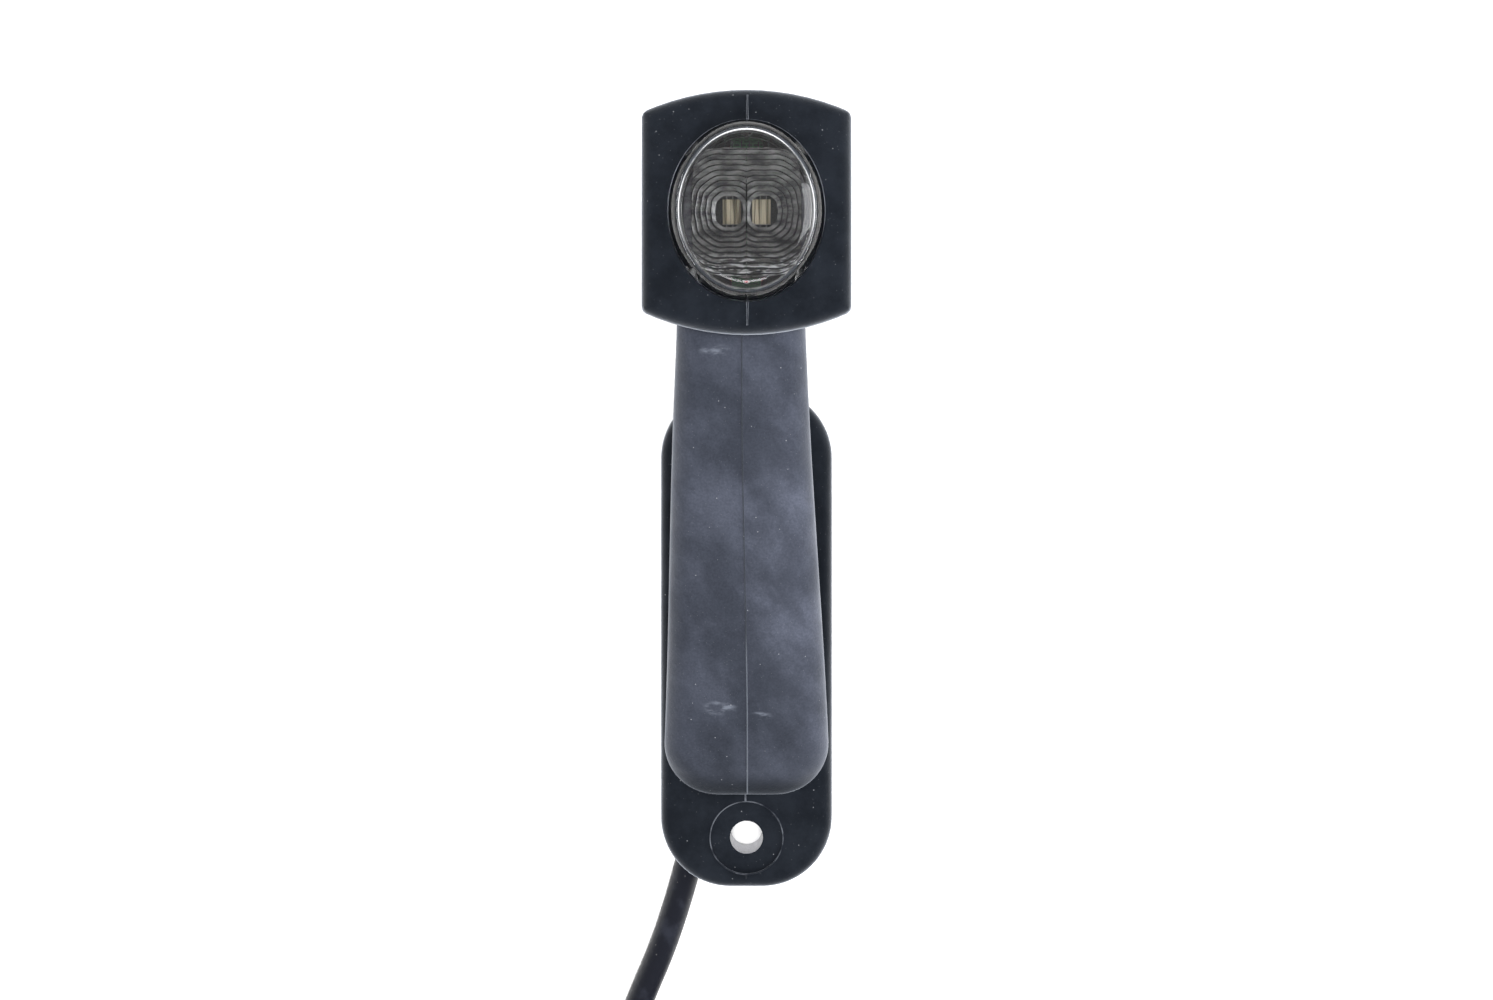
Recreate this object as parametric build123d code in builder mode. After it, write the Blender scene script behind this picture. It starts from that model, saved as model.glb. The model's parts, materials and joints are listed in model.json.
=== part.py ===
"""Flexible-arm end-outline marker lamp for trucks and trailers, in millimetres.

A rubber foot with a steel insert bolts flat to the vehicle.  A rubber arm rises from it at a
slant and carries a rubber head with a lamp module: clear lens to the front, red lens to the rear.

Frame: the flat back of the foot is at z = 0, +Z points out of it, +Y runs along the lamp towards
the head, and the origin lies midway between the two bolts.
"""

import os
from math import cos, degrees, pi, radians, sin, sqrt, tan

from build123d import *

os.makedirs("parts", exist_ok=True)

# ---- Driving dimensions ------------------------------------------------------------------------

foot_width = 34.4
foot_length = 100.0
foot_thickness = 12.0
foot_corner_radius = 14.0
foot_edge_radius = 1.6

bolt_spacing = 80.0
sleeve_bore = 6.6
sleeve_wall = 1.2
washer_seat_diameter = 14.5
washer_seat_depth = 1.0

insert_thickness = 2.0
insert_margin = 3.0
insert_slot_clearance = 0.9
insert_slot_corner = 3.0
groove_roof = 1.7

arm_angle = 18.1
arm_thickness = 16.0
arm_shoulder = 8.5
arm_front_y = -21.0
arm_toe_y = -31.0
arm_toe_width = 33.0
arm_toe_corner = 11.0
arm_root_overlap = 2.0
arm_head_width = 24.0
arm_edge_radius = 4.5

flex_root_gap = 2.5
flex_length = 19.0
rigid_length = 7.0

head_width = 38.0
head_height = 44.2
head_depth = 30.0
face_step = 9.0
head_gap = 7.0
head_crown_radius = 46.0
head_corner_radius = 1.6
head_rear_corner_radius = 3.5
head_draft = 4.5
head_front_radius = 1.3
head_rear_radius = 2.5

lens_width = 27.8
lens_height = 32.2
rear_lens_shrink = 2.0
lens_wall = 1.8
lens_flange = 1.1
lens_flange_thickness = 2.0
lens_edge_radius = 4.5
front_lens_rise = 5.0
rear_lens_rise = 4.0
lens_gap = 0.1
lip_thickness = 2.5
seal_thickness = 0.8

housing_wall = 1.4
housing_gap = 0.1
board_width = 20.0
board_length = 22.0
board_thickness = 1.6
board_corner = 1.5
board_tab_width = 6.0
board_cable_gap = 3.1
ring_diameter = 1.4
ring_hole = 0.75
ring_height = 0.1
ring_inset = 3.8

optic_width = 19.6
optic_height = 24.0
optic_thickness = 6.5
optic_led_gap = 1.2
optic_wall_gap = 0.4
led_size = 3.4
led_spacing = 5.4
led_thickness = 1.3
led_corner = 0.3
phosphor_diameter = 2.4
phosphor_height = 0.3
resistor_size = (2.0, 1.25, 0.55)
resistor_offset = (7.2, 1.5)
diode_size = (4.4, 2.6, 2.0)
diode_place = (0.0, 7.4)
driver_size = (3.0, 1.7, 1.1)
driver_place = (6.0, 6.6)
capacitor_diameter = 3.6
capacitor_height = 2.4
capacitor_edge = 0.3
capacitor_place = (-6.2, 6.6)

cable_diameter = 5.6
cable_play = 0.3
groove_overrun = 0.3
cable_end_reach = 0.7
lead_diameter = 1.3
lead_spacing = 2.6
lead_bend_radius = 1.0
lead_reach = 3.2
pot_clearance = 0.3
pot_width = 12.0
pot_depth = 2.6
pot_overrun = 2.0
pot_height = 9.0

coil_radius = 28.5
coil_centre = (1.3, -109.5)
coil_top_start = 50.0
coil_top_end = 316.0
coil_section_flat = 0.2
core_diameter = 1.9
core_spacing = 2.2
core_gap = 0.1
core_length = 24.0
strand_diameter = 1.1
strand_length = 7.0
tie_width = 3.6
tie_thickness = 1.1
tie_angle = 245.0
tie_lock = (5.0, 4.4, 3.4)
tie_lock_corner = 0.5
tie_lock_overlap = 0.2

# ---- Sizes that follow -------------------------------------------------------------------------

cable_radius = cable_diameter / 2
channel_radius = cable_radius + cable_play
sleeve_radius = sleeve_bore / 2 + sleeve_wall
sleeve_places = [(0, -bolt_spacing / 2), (0, bolt_spacing / 2)]
foot_end = foot_length / 2

slope = tan(radians(arm_angle))
arm_front_height = foot_thickness + arm_shoulder
insert_height = cable_diameter + cable_play + groove_roof
arm_root = foot_thickness - arm_root_overlap
head_bottom = foot_end + head_gap
head_y = head_bottom + head_height / 2
crown_rise = head_crown_radius - sqrt(head_crown_radius**2 - (head_width / 2) ** 2)
arm_taper = (arm_toe_width - arm_head_width) / (head_bottom - arm_toe_y)
arm_inner_width = arm_toe_width - arm_taper * (head_y - arm_toe_y)


def arm_front_z(y):
    """Height of the arm's front surface."""
    return arm_front_height + (y - arm_front_y) * slope


arm_drop = arm_thickness / cos(radians(arm_angle))


def arm_middle(y):
    """Point on the arm's middle plane, where the cable runs."""
    return Vector(0, y, arm_front_z(y) - arm_drop / 2)


head_front = arm_front_z(head_bottom) + face_step
head_rear = head_front - head_depth
arm_direction = Vector(0, cos(radians(arm_angle)), sin(radians(arm_angle)))


def arm_plane(y):
    """Plane square to the arm through its middle, with its normal towards the head."""
    return Plane(origin=arm_middle(y), x_dir=(1, 0, 0), z_dir=arm_direction)


opening_x = lens_width / 2 + lens_gap
opening_y = lens_height / 2 + lens_gap
module_x = lens_width / 2 + lens_flange
module_y = lens_height / 2 + lens_flange
rear_lens_x = lens_width / 2 - rear_lens_shrink
rear_lens_y = lens_height / 2 - rear_lens_shrink
pocket_front = head_front - lip_thickness
pocket_rear = head_rear + lip_thickness
front_flange_top = pocket_front - seal_thickness
rear_flange_bottom = pocket_rear + seal_thickness
housing_front = front_flange_top - lens_flange_thickness
housing_rear = rear_flange_bottom + lens_flange_thickness
housing_x = module_x - housing_wall
housing_y = module_y - housing_wall
cable_end_y = head_y - housing_y + cable_end_reach
board_back = arm_middle(cable_end_y).Z + board_cable_gap
board_front = board_back + board_thickness

arm_root_exit = arm_front_y + (arm_drop - arm_shoulder) / slope
flex_start = arm_root_exit + flex_root_gap
flex_end = flex_start + flex_length
upper_flex_start = flex_end + rigid_length
upper_flex_end = upper_flex_start + flex_length

# ---- Cable route -------------------------------------------------------------------------------

inner_bend_y = -4.0
groove_top = Vector(-6.0, -24.0, cable_radius)
cable_exit = Vector(-12.0, -47.0, cable_radius)
inner_route = [arm_middle(flex_start), arm_middle(inner_bend_y), groove_top, cable_exit]

cable_inner_end = arm_middle(cable_end_y)

free_route = [
    (-12.0, -47.0),
    (-15.39, -60.0),
    (-23.3, -78.0),
    (-28.3, -93.5),
    (-30.0, -109.5),
]
free_points = [Vector(x, y, cable_radius) for x, y in free_route]


def corner_radii(points):
    """Radius of each corner: 0.45 of the shorter run, over the tangent of half the turn."""
    radii = []
    for before, corner, after in zip(points, points[1:], points[2:]):
        first = corner - before
        second = after - corner
        turn = radians(first.get_angle(second))
        radii.append(0.45 * min(first.length, second.length) / tan(turn / 2))
    return radii


print("inner cable radii", [round(radius, 1) for radius in corner_radii(inner_route)])
print("free cable radii", [round(radius, 1) for radius in corner_radii(free_points)])

# ---- Rubber moulding ---------------------------------------------------------------------------
# One real moulding, kept as five pieces: the foot, the two stretches of the arm that bend, the
# short stiff stretch between them, and the head.

with BuildPart() as arm_blank:
    with BuildSketch(Plane.YZ):
        with BuildLine():
            toe_foot = (arm_toe_y, arm_root)
            toe_top = (arm_toe_y, arm_front_z(arm_toe_y))
            front_end = (head_y, arm_front_z(head_y))
            back_end = (head_y, arm_front_z(head_y) - arm_drop)
            back_root = (head_y - (back_end[1] - arm_root) / slope, arm_root)
            Polyline(toe_foot, toe_top, front_end, back_end, back_root, close=True)
        make_face()
    extrude(amount=foot_width / 2, both=True)
    with BuildSketch() as arm_outline:
        with BuildLine():
            Polyline(
                (-arm_toe_width / 2, arm_toe_y),
                (arm_toe_width / 2, arm_toe_y),
                (arm_inner_width / 2, head_y),
                (-arm_inner_width / 2, head_y),
                close=True,
            )
        make_face()
        fillet(arm_outline.vertices().group_by(Axis.Y)[0], arm_toe_corner)
    extrude(amount=head_front, mode=Mode.INTERSECT)
    upward_faces = arm_blank.faces().filter_by(lambda face: face.normal_at().Z > 0.9)
    front_face = upward_faces.sort_by(SortBy.AREA)[-1]
    fillet(front_face.edges().sort_by(Axis.Y)[:-1], arm_edge_radius)

with BuildPart() as head_blank:
    draft_shrink = head_depth * tan(radians(head_draft))
    for height, shrink, corner in (
        (head_front, 0, head_corner_radius),
        (head_rear, draft_shrink, head_rear_corner_radius),
    ):
        half_width = head_width / 2 - shrink
        half_height = head_height / 2 - shrink
        side_height = half_height - crown_rise
        with BuildSketch(Plane.XY.offset(height)) as head_outline:
            with BuildLine(Plane((0, head_y, 0))):
                top = ThreePointArc(
                    (-half_width, side_height), (0, half_height), (half_width, side_height)
                )
                bottom = ThreePointArc(
                    (-half_width, -side_height), (0, -half_height), (half_width, -side_height)
                )
                Line(top @ 0, bottom @ 0)
                Line(top @ 1, bottom @ 1)
            make_face()
            fillet(head_outline.vertices(), corner)
    loft(ruled=True)
    fillet(head_blank.faces().sort_by(Axis.Z)[-1].edges(), head_front_radius)
    fillet(head_blank.faces().sort_by(Axis.Z)[0].edges(), head_rear_radius)

with BuildPart() as cable_channel:
    with BuildLine() as channel_line:
        outlet = cable_exit + (cable_exit - groove_top) * groove_overrun
        channel_route = [cable_inner_end, *inner_route[1:3], outlet]
        FilletPolyline(*channel_route, radius=corner_radii(inner_route))
    with BuildSketch(Plane(channel_line.line @ 0, z_dir=channel_line.line % 0)):
        Circle(channel_radius)
    sweep()
    with BuildSketch():
        with BuildLine():
            Line((groove_top.X, groove_top.Y), (outlet.X, outlet.Y))
        trace(line_width=2 * channel_radius)
    extrude(amount=cable_radius)

# Steel plate moulded into the foot, which spreads the bolts' load through the rubber.
with BuildPart() as steel_insert:
    with BuildSketch(Plane.XY.offset(insert_height)):
        insert_width = foot_width - 2 * insert_margin
        insert_length = foot_length - 2 * insert_margin
        RectangleRounded(insert_width, insert_length, foot_corner_radius - insert_margin)
        with Locations(*sleeve_places):
            Circle(sleeve_radius, mode=Mode.SUBTRACT)
        slot_centre = (arm_middle(inner_bend_y) + groove_top) / 2
        with Locations((slot_centre.X, slot_centre.Y)):
            slot_width = abs(groove_top.X) + 2 * (channel_radius + insert_slot_clearance)
            slot_length = inner_bend_y - groove_top.Y + 2 * channel_radius
            RectangleRounded(slot_width, slot_length, insert_slot_corner, mode=Mode.SUBTRACT)
    extrude(amount=insert_thickness)

# Plain metal tubes that the bolts pass through, so tightening them doesn't crush the rubber.
with BuildPart() as bolt_sleeves:
    with BuildSketch():
        with Locations(*sleeve_places):
            Circle(sleeve_radius)
            Circle(sleeve_bore / 2, mode=Mode.SUBTRACT)
    extrude(amount=foot_thickness - washer_seat_depth)

with BuildPart() as rubber_foot:
    with BuildSketch():
        RectangleRounded(foot_width, foot_length, foot_corner_radius)
    extrude(amount=foot_thickness)
    fillet(rubber_foot.faces().sort_by(Axis.Z)[-1].edges(), foot_edge_radius)
    add(arm_blank.part.split(arm_plane(flex_start), keep=Keep.BOTTOM))
    with BuildSketch(Plane.XY.offset(foot_thickness)):
        with Locations(*sleeve_places):
            Circle(washer_seat_diameter / 2)
    extrude(amount=-washer_seat_depth, mode=Mode.SUBTRACT)
    with BuildSketch():
        with Locations(*sleeve_places):
            Circle(sleeve_radius)
    extrude(amount=foot_thickness, mode=Mode.SUBTRACT)
    add(cable_channel.part, mode=Mode.SUBTRACT)
    add(steel_insert.part, mode=Mode.SUBTRACT)

with BuildPart() as rubber_arm_lower:
    add(arm_blank.part.split(arm_plane(flex_start), keep=Keep.TOP))
    split(bisect_by=arm_plane(flex_end), keep=Keep.BOTTOM)
    add(cable_channel.part, mode=Mode.SUBTRACT)

with BuildPart() as rubber_arm_middle:
    add(arm_blank.part.split(arm_plane(flex_end), keep=Keep.TOP))
    split(bisect_by=arm_plane(upper_flex_start), keep=Keep.BOTTOM)
    add(cable_channel.part, mode=Mode.SUBTRACT)

with BuildPart() as rubber_arm_upper:
    add(arm_blank.part.split(arm_plane(upper_flex_start), keep=Keep.TOP))
    split(bisect_by=arm_plane(upper_flex_end), keep=Keep.BOTTOM)
    add(cable_channel.part, mode=Mode.SUBTRACT)

with BuildPart() as rubber_head:
    add(head_blank.part)
    add(arm_blank.part.split(arm_plane(upper_flex_end), keep=Keep.TOP))
    add(cable_channel.part, mode=Mode.SUBTRACT)
    with BuildSketch(Plane((0, head_y, pocket_rear))):
        Ellipse(module_x + housing_gap, module_y + housing_gap)
    extrude(amount=pocket_front - pocket_rear, mode=Mode.SUBTRACT)
    with BuildSketch(Plane((0, head_y, pocket_front))):
        Ellipse(opening_x, opening_y)
    extrude(amount=lip_thickness, mode=Mode.SUBTRACT)
    with BuildSketch(Plane((0, head_y, head_rear))):
        Ellipse(rear_lens_x + lens_gap, rear_lens_y + lens_gap)
    extrude(amount=lip_thickness, mode=Mode.SUBTRACT)

# ---- Lamp module -------------------------------------------------------------------------------
# A sealed unit pushed into the rubber head, whose lips close over the flanges of its two lenses.


def lens_cap(base, half_x, half_y, flange_level, top_level):
    """Hollow lens with a flange, facing along the normal of its base plane."""
    bottom_level = flange_level - lens_flange_thickness
    roof_level = top_level - lens_wall
    with BuildPart() as cap:
        with BuildSketch(base.offset(bottom_level)):
            Ellipse(module_x, module_y)
        extrude(amount=lens_flange_thickness)
        with BuildSketch(base.offset(flange_level)):
            Ellipse(half_x, half_y)
        extrude(amount=top_level - flange_level)
        fillet(cap.faces().sort_by(Axis(base.origin, base.z_dir))[-1].edges(), lens_edge_radius)
        with BuildSketch(base.offset(bottom_level)):
            Ellipse(half_x - lens_wall, half_y - lens_wall)
        extrude(amount=roof_level - bottom_level, mode=Mode.SUBTRACT)
        roof_height = base.offset(roof_level).origin.Z
        roof_edges = cap.edges().filter_by_position(Axis.Z, roof_height - 0.01, roof_height + 0.01)
        fillet(roof_edges, lens_edge_radius - lens_wall)
    return cap


def ellipse_ring(level, thickness, outer, inner):
    """Elliptical ring around the lamp module's axis."""
    with BuildPart() as ring:
        with BuildSketch(Plane((0, head_y, level))):
            Ellipse(*outer)
            Ellipse(*inner, mode=Mode.SUBTRACT)
        extrude(amount=thickness)
    return ring


front_base = Plane(origin=(0, head_y, 0), x_dir=(1, 0, 0), z_dir=(0, 0, 1))
rear_base = Plane(origin=(0, head_y, 0), x_dir=(1, 0, 0), z_dir=(0, 0, -1))
module_outer = (module_x, module_y)

front_lens = lens_cap(
    front_base, lens_width / 2, lens_height / 2, front_flange_top, head_front + front_lens_rise
)
rear_lens = lens_cap(rear_base, rear_lens_x, rear_lens_y, -rear_flange_bottom, rear_lens_rise - head_rear)

seal_inner_front = (opening_x + lens_gap, opening_y + lens_gap)
front_seal = ellipse_ring(front_flange_top, seal_thickness, module_outer, seal_inner_front)
seal_inner_rear = (rear_lens_x + 2 * lens_gap, rear_lens_y + 2 * lens_gap)
rear_seal = ellipse_ring(pocket_rear, seal_thickness, module_outer, seal_inner_rear)

with BuildPart() as module_housing:
    with BuildSketch(Plane((0, head_y, housing_rear))):
        Ellipse(module_x, module_y)
        Ellipse(housing_x, housing_y, mode=Mode.SUBTRACT)
    extrude(amount=housing_front - housing_rear)
    with BuildSketch(Plane(origin=arm_middle(head_bottom), x_dir=(1, 0, 0), z_dir=arm_direction)):
        Circle(cable_radius)
    extrude(amount=head_height / 2, mode=Mode.SUBTRACT)

# Circuit board with a tab at each end, where a plated hole locates it.
with BuildPart() as circuit_board:
    with BuildSketch(Plane((0, head_y, board_back))):
        RectangleRounded(board_width, board_length, board_corner)
        Rectangle(board_tab_width, 2 * (housing_y - housing_gap))
        Ellipse(housing_x - housing_gap, housing_y - housing_gap, mode=Mode.INTERSECT)
        ring_offset = housing_y - ring_inset
        with Locations((0, ring_offset), (0, -ring_offset)):
            Circle(ring_hole / 2, mode=Mode.SUBTRACT)
    extrude(amount=board_thickness)

with BuildPart() as plated_rings:
    with BuildSketch(Plane((0, head_y, board_front))):
        with Locations((0, ring_offset), (0, -ring_offset)):
            Circle(ring_diameter / 2)
            Circle(ring_hole / 2, mode=Mode.SUBTRACT)
    extrude(amount=ring_height)

led_places = [(-led_spacing / 2, 0), (led_spacing / 2, 0)]

with BuildPart() as front_leds:
    with BuildSketch(Plane((0, head_y, board_front))):
        with Locations(*led_places):
            RectangleRounded(led_size, led_size, led_corner)
    extrude(amount=led_thickness)

with BuildPart() as front_led_phosphor:
    with BuildSketch(Plane((0, head_y, board_front + led_thickness))):
        with Locations(*led_places):
            Circle(phosphor_diameter / 2)
    extrude(amount=phosphor_height)

with BuildPart() as rear_leds:
    with BuildSketch(Plane((0, head_y, board_back))):
        with Locations(*led_places):
            RectangleRounded(led_size, led_size, led_corner)
    extrude(amount=-led_thickness)


def optic(level):
    """Clear block that spreads the light of the two chips, cut straight at its two ends."""
    with BuildPart() as block:
        with BuildSketch(Plane((0, head_y, level))):
            Rectangle(optic_width, optic_height)
            inner_x = rear_lens_x - lens_wall - optic_wall_gap
            inner_y = rear_lens_y - lens_wall - optic_wall_gap
            Ellipse(inner_x, inner_y, mode=Mode.INTERSECT)
        extrude(amount=optic_thickness)
    return block


front_optic = optic(board_front + led_thickness + optic_led_gap)
rear_optic = optic(board_back - led_thickness - optic_led_gap - optic_thickness)


def chips(places, size):
    """Rectangular parts soldered to the back of the board."""
    with BuildPart() as group:
        with BuildSketch(Plane((0, head_y, board_back))):
            with Locations(*places):
                Rectangle(size[0], size[1])
        extrude(amount=-size[2])
    return group


resistor_x, resistor_y = resistor_offset
resistor_places = [(x, y) for x in (-resistor_x, resistor_x) for y in (-resistor_y, resistor_y)]
resistors = chips(resistor_places, resistor_size)
rectifier_diode = chips([diode_place], diode_size)
driver_chip = chips([driver_place], driver_size)

with BuildPart() as capacitor:
    with BuildSketch(Plane((0, head_y, board_back))):
        with Locations(capacitor_place):
            Circle(capacitor_diameter / 2)
    extrude(amount=-capacitor_height)
    fillet(capacitor.faces().sort_by(Axis.Z)[0].edges(), capacitor_edge)


# ---- Cable and leads ---------------------------------------------------------------------------


def cable_run(route, diameter):
    """Round tube along straight runs joined by the largest tangent arcs that they allow."""
    with BuildPart() as run:
        with BuildLine() as line:
            if len(route) > 2:
                FilletPolyline(*route, radius=corner_radii(route))
            else:
                Line(*route)
        with BuildSketch(Plane(line.line @ 0, z_dir=line.line % 0)):
            Circle(diameter / 2)
        sweep()
    length = sum(edge.length for edge in line.edges())
    expected = pi * diameter**2 / 4 * length
    print("run of", round(length, 1), "mm, volume error", round(run.part.volume / expected - 1, 6))
    return run


cable_foot_run = cable_run(inner_route, cable_diameter)
cable_arm_lower = cable_run([arm_middle(flex_start), arm_middle(flex_end)], cable_diameter)
cable_arm_middle = cable_run([arm_middle(flex_end), arm_middle(upper_flex_start)], cable_diameter)
cable_arm_upper = cable_run([arm_middle(upper_flex_start), arm_middle(upper_flex_end)], cable_diameter)
cable_head_run = cable_run([arm_middle(upper_flex_end), cable_inner_end], cable_diameter)
cable_free_run = cable_run(free_points, cable_diameter)


def lead(side):
    """One insulated lead, from the end of the cable's jacket up to the back of the board."""
    start = cable_inner_end + Vector(side * lead_spacing / 2, 0, 0)
    bend = start + arm_direction * lead_reach
    top = Vector(bend.X, bend.Y, board_back)
    with BuildPart() as wire:
        with BuildLine() as line:
            FilletPolyline(start, bend, top, radius=lead_bend_radius)
        with BuildSketch(Plane(line.line @ 0, z_dir=line.line % 0)):
            Circle(lead_diameter / 2)
        sweep()
    return wire


live_lead = lead(1)
earth_lead = lead(-1)

# Resin that seals the cable's end into the housing.
with BuildPart() as potting_plug:
    with BuildSketch(Plane((0, head_y, board_back - pot_clearance - pot_height))):
        with Locations((0, -housing_y + pot_depth / 2)):
            Rectangle(pot_width, pot_depth + pot_overrun)
        Ellipse(housing_x - housing_gap, housing_y - housing_gap, mode=Mode.INTERSECT)
    extrude(amount=pot_height)
    add(cable_head_run.part, mode=Mode.SUBTRACT)
    add(live_lead.part, mode=Mode.SUBTRACT)
    add(earth_lead.part, mode=Mode.SUBTRACT)

# ---- Coil of the spare cable, laid on the same surface ------------------------------------------

coil_axis = Axis((*coil_centre, 0), (0, 0, 1))
top_level = cable_radius + sqrt(3) * cable_radius


def coil_point(radius, angle, height):
    """Point at a radius and an angle round the coil."""
    return Vector(
        coil_centre[0] + radius * cos(radians(angle)), coil_centre[1] + radius * sin(radians(angle)), height
    )


def coil_plane(angle):
    """Upright plane that cuts the coil square, with its x axis pointing outwards."""
    outward = Vector(cos(radians(angle)), sin(radians(angle)), 0)
    return Plane(
        origin=coil_point(coil_radius, angle, 0), x_dir=outward, z_dir=outward.cross(Vector(0, 0, 1))
    )


with BuildPart() as cable_coil:
    with BuildSketch(coil_plane(0)):
        with Locations((0, cable_radius)):
            RectangleRounded(2 * cable_diameter, cable_diameter, cable_radius - coil_section_flat)
    revolve(axis=coil_axis)
    with BuildSketch(coil_plane(coil_top_start)):
        with Locations((0, top_level)):
            Circle(cable_radius)
    revolve(axis=coil_axis, revolution_arc=coil_top_end - coil_top_start)


def coil_arc(angle, length, offset, height, diameter):
    """Short round piece that goes on round the coil from an angle."""
    radius = coil_radius + offset
    span = degrees(length / radius)
    with BuildPart() as piece:
        with BuildSketch(coil_plane(angle)):
            with Locations((offset, height)):
                Circle(diameter / 2)
        revolve(axis=coil_axis, revolution_arc=span)
    return piece


core_height = cable_diameter + core_diameter / 2 + core_gap
live_core = coil_arc(coil_top_end, core_length, core_spacing / 2, core_height, core_diameter)
earth_core = coil_arc(coil_top_end, core_length, -core_spacing / 2, core_height, core_diameter)

with BuildPart() as bare_strands:
    for offset in (core_spacing / 2, -core_spacing / 2):
        radius = coil_radius + offset
        start = coil_top_end + degrees(core_length / radius)
        with BuildSketch(coil_plane(start)):
            with Locations((offset, core_height)):
                Circle(strand_diameter / 2)
        revolve(axis=coil_axis, revolution_arc=degrees(strand_length / radius))


def tie_outline(growth):
    """Circles round the bundle's three turns where the tie holds it, to be wrapped by a hull."""
    for across, up in ((-cable_radius, cable_radius), (cable_radius, cable_radius), (0, top_level)):
        CenterArc((across, up + tie_thickness), cable_radius + growth, 0, 360)


with BuildPart() as cable_tie:
    with BuildSketch(coil_plane(tie_angle)):
        with BuildLine():
            tie_outline(tie_thickness)
        make_hull()
    extrude(amount=tie_width / 2, both=True)
    with BuildSketch(coil_plane(tie_angle)):
        with BuildLine():
            tie_outline(0)
        make_hull()
    extrude(amount=tie_width / 2, both=True, mode=Mode.SUBTRACT)
    with BuildSketch(coil_plane(tie_angle)):
        lock_x = cable_diameter + tie_thickness + tie_lock[0] / 2 - tie_lock_overlap
        with Locations((lock_x, tie_thickness + cable_radius)):
            RectangleRounded(tie_lock[0], tie_lock[1], tie_lock_corner)
    extrude(amount=tie_lock[2] / 2, both=True)

# ---- Export ------------------------------------------------------------------------------------

pieces = {
    "rubber_foot": rubber_foot,
    "rubber_arm_lower": rubber_arm_lower,
    "rubber_arm_middle": rubber_arm_middle,
    "rubber_arm_upper": rubber_arm_upper,
    "rubber_head": rubber_head,
    "steel_insert": steel_insert,
    "bolt_sleeves": bolt_sleeves,
    "front_lens": front_lens,
    "rear_lens": rear_lens,
    "front_seal": front_seal,
    "rear_seal": rear_seal,
    "module_housing": module_housing,
    "circuit_board": circuit_board,
    "plated_rings": plated_rings,
    "front_leds": front_leds,
    "front_led_phosphor": front_led_phosphor,
    "rear_leds": rear_leds,
    "front_optic": front_optic,
    "rear_optic": rear_optic,
    "resistors": resistors,
    "rectifier_diode": rectifier_diode,
    "driver_chip": driver_chip,
    "capacitor": capacitor,
    "live_lead": live_lead,
    "earth_lead": earth_lead,
    "potting_plug": potting_plug,
    "cable_foot_run": cable_foot_run,
    "cable_arm_lower": cable_arm_lower,
    "cable_arm_middle": cable_arm_middle,
    "cable_arm_upper": cable_arm_upper,
    "cable_head_run": cable_head_run,
    "cable_free_run": cable_free_run,
    "cable_coil": cable_coil,
    "cable_tie": cable_tie,
    "live_core": live_core,
    "earth_core": earth_core,
    "bare_strands": bare_strands,
}
for name, piece in pieces.items():
    piece.part.label = name
    export_step(piece.part, f"parts/{name}.step")
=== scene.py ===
import json
from math import cos, pi, radians, sin, sqrt, tan

import bmesh
import bpy
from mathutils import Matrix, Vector


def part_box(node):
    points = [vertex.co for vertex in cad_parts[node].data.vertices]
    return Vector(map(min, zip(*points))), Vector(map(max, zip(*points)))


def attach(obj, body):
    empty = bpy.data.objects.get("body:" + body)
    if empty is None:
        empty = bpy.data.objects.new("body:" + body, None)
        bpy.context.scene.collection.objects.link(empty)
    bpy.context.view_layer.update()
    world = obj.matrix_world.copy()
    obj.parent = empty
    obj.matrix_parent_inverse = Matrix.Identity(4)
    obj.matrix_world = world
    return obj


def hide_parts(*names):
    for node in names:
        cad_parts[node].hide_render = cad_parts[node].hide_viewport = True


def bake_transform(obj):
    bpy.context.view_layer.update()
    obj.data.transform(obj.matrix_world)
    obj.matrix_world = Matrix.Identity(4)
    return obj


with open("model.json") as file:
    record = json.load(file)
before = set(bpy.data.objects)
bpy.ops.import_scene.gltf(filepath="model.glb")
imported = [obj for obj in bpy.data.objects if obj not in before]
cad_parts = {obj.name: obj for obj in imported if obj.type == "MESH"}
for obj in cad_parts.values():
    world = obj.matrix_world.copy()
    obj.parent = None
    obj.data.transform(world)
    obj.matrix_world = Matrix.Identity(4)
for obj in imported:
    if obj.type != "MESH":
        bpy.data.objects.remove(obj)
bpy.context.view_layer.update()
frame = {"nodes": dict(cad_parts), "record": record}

mm = 0.001

# ---- Camera --------------------------------------------------------------------------------------
# Straight above the lamp, which lies on its back, and square on to the front lens and the foot.
# It is close, so the raised head looks a little larger than the foot.
camera_data = bpy.data.cameras.new("camera")
camera = bpy.data.objects.new("camera", camera_data)
bpy.context.collection.objects.link(camera)
camera.location = (0, 0.0276, 0.400)
camera_data.lens = 46.78
camera_data.sensor_width = 36.0
camera_data.clip_start = 0.01
bpy.context.scene.camera = camera

# ---- Cable ---------------------------------------------------------------------------------------
# Two-core lamp cable with a round extruded jacket.  It comes out of a groove in the back of the
# foot, runs off in a slack S and is wound up in a tied coil that ends in its two stripped cores.
cable_diameter = 5.6 * mm
cable_radius = cable_diameter / 2
free_route = [
    (-0.0120, -0.0470),
    (-0.01539, -0.0600),
    (-0.0233, -0.0780),
    (-0.0283, -0.0935),
    (-0.0300, -0.1095),
]
coil_centre = (0.0013, -0.1095)
coil_radius = 0.0285
outer_turn = coil_radius + cable_radius
inner_turn = coil_radius - cable_radius
top_turn_height = cable_radius + sqrt(3) * cable_radius
tie_angle = 245.0
tie_thickness = 1.1 * mm
coil_step = 22.5
coil_end = 856.0
polygon_growth = 1 / cos(radians(coil_step / 2))
move_inwards = (245, 318)
move_to_middle = (560, 612)
climb = (556, 608)
crossing_rise = (612, 632)
crossing_fall = (645, 672)
crossing_lift = 0.75 * mm
tie_reach = (6, 40)


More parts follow.
